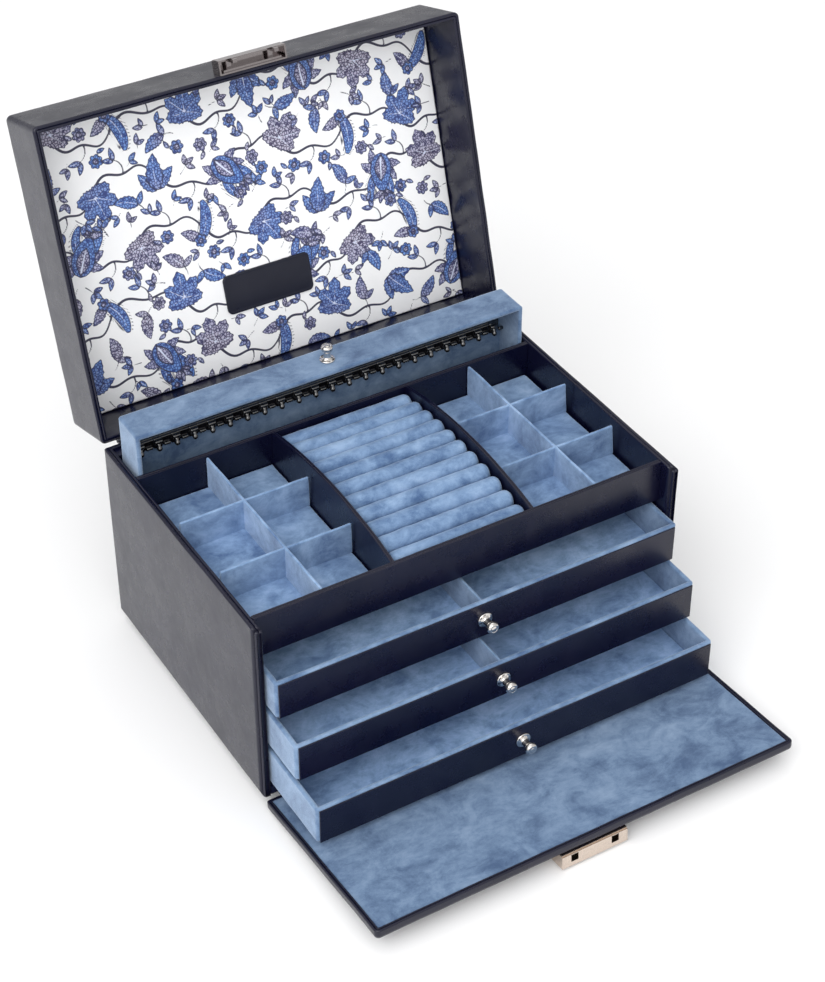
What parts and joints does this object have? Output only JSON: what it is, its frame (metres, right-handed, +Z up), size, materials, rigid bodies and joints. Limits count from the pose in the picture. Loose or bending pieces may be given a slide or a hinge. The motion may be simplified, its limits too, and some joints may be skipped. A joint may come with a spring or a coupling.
{
  "type": "jewelry gift box",
  "caption": "Leather jewellery gift box with a lift-up lid, divided tray, ring rolls, pull-up necklace holder, drawers and a drop-down front flap.",
  "frame": {"origin": "on the table, under the middle of the open case's overall box (lid open, flap lowered)", "axes": "+X across the case to its right, +Y from the flap to the back, +Z up"},
  "size_m": [0.28, 0.4204, 0.3295],
  "materials": {
    "navy_leather": "smooth fine-grained leather, satin",
    "blue_velour": "short-pile velour",
    "printed_lining": "printed cotton satin",
    "plaque_leather": "smooth leather, satin",
    "chrome": "polished",
    "steel": "plain",
    "black_gloss": "glossy black",
    "board": "grey board, unseen",
    "dark_felt": "felt"
  },
  "bodies": {
    "case": {"case_left_wall": "navy_leather", "case_right_wall": "navy_leather", "case_back_wall": "navy_leather", "case_bottom": "navy_leather", "case_feet": "dark_felt", "drawer_shelves": "navy_leather", "tray_board": "navy_leather", "tray_front_panel": "navy_leather", "well_front_panel": "navy_leather", "well_back_board": "navy_leather", "holder_guides": "navy_leather", "tray_floor_pads": "blue_velour", "tray_long_dividers": "blue_velour", "tray_cross_dividers": "blue_velour", "ring_partitions": "navy_leather", "ring_cushion_base": "board", "ring_rolls": "blue_velour", "case_hinge_leaves": "steel", "hinge_pins": "steel"},
    "lid": {"lid_top": "navy_leather", "lid_left_wall": "navy_leather", "lid_right_wall": "navy_leather", "lid_front_wall": "navy_leather", "lid_back_wall": "navy_leather", "lid_lining": "printed_lining", "lid_plaque": "plaque_leather", "lid_lock_cover": "chrome", "lid_catch": "steel", "lid_hinge_leaf": "steel"},
    "flap": {"flap_board": "navy_leather", "flap_velour": "blue_velour", "flap_hinge_leaf": "steel", "lock_plate": "chrome", "lock_case": "chrome", "lock_spring": "steel"},
    "thumb": {"lock_thumb": "chrome"},
    "drawer_1": {"drawer_1_base": "blue_velour", "drawer_1_walls": "blue_velour", "drawer_1_front": "blue_velour", "drawer_1_face": "navy_leather", "drawer_1_divider": "blue_velour", "drawer_1_knob": "chrome"},
    "drawer_2": {"drawer_2_base": "blue_velour", "drawer_2_walls": "blue_velour", "drawer_2_front": "blue_velour", "drawer_2_face": "navy_leather", "drawer_2_divider": "blue_velour", "drawer_2_knob": "chrome"},
    "drawer_3": {"drawer_3_base": "blue_velour", "drawer_3_walls": "blue_velour", "drawer_3_front": "blue_velour", "drawer_3_face": "navy_leather", "drawer_3_knob": "chrome"},
    "holder": {"holder_top": "blue_velour", "holder_sides": "blue_velour", "holder_back": "blue_velour", "holder_bottom": "blue_velour", "hook_rail": "black_gloss", "necklace_hooks": "black_gloss", "holder_knob": "chrome"}
  },
  "joints": [
    {"name": "lid_hinge", "type": "hinge", "parent": "case", "child": "lid", "pos_m": [0, 0.11095, 0.1332], "axis": [1, 0, 0], "range_deg": [0, 106.57]},
    {"name": "flap_hinge", "type": "hinge", "parent": "case", "child": "flap", "pos_m": [0, -0.08225, 0.007], "axis": [-1, 0, 0], "range_deg": [0, 3.5]},
    {"name": "drawer_1_slide", "type": "slide", "parent": "case", "child": "drawer_1", "axis": [0, 1, 0], "range_m": [-0.077, 0.0215]},
    {"name": "drawer_2_slide", "type": "slide", "parent": "case", "child": "drawer_2", "axis": [0, 1, 0], "range_m": [-0.056, 0.0425]},
    {"name": "drawer_3_slide", "type": "slide", "parent": "case", "child": "drawer_3", "axis": [0, 1, 0], "range_m": [-0.034, 0.0645]},
    {"name": "holder_slide", "type": "slide", "parent": "case", "child": "holder", "axis": [0, 0, -1], "range_m": [-0.06, 0.0268]},
    {"name": "thumb_slide", "type": "slide", "parent": "flap", "child": "thumb", "axis": [1, 0, 0], "range_m": [0, 0.004], "stiffness_N_per_m": 120, "springref_m": -0.004, "deforming": ["lock_spring"]}
  ]
}
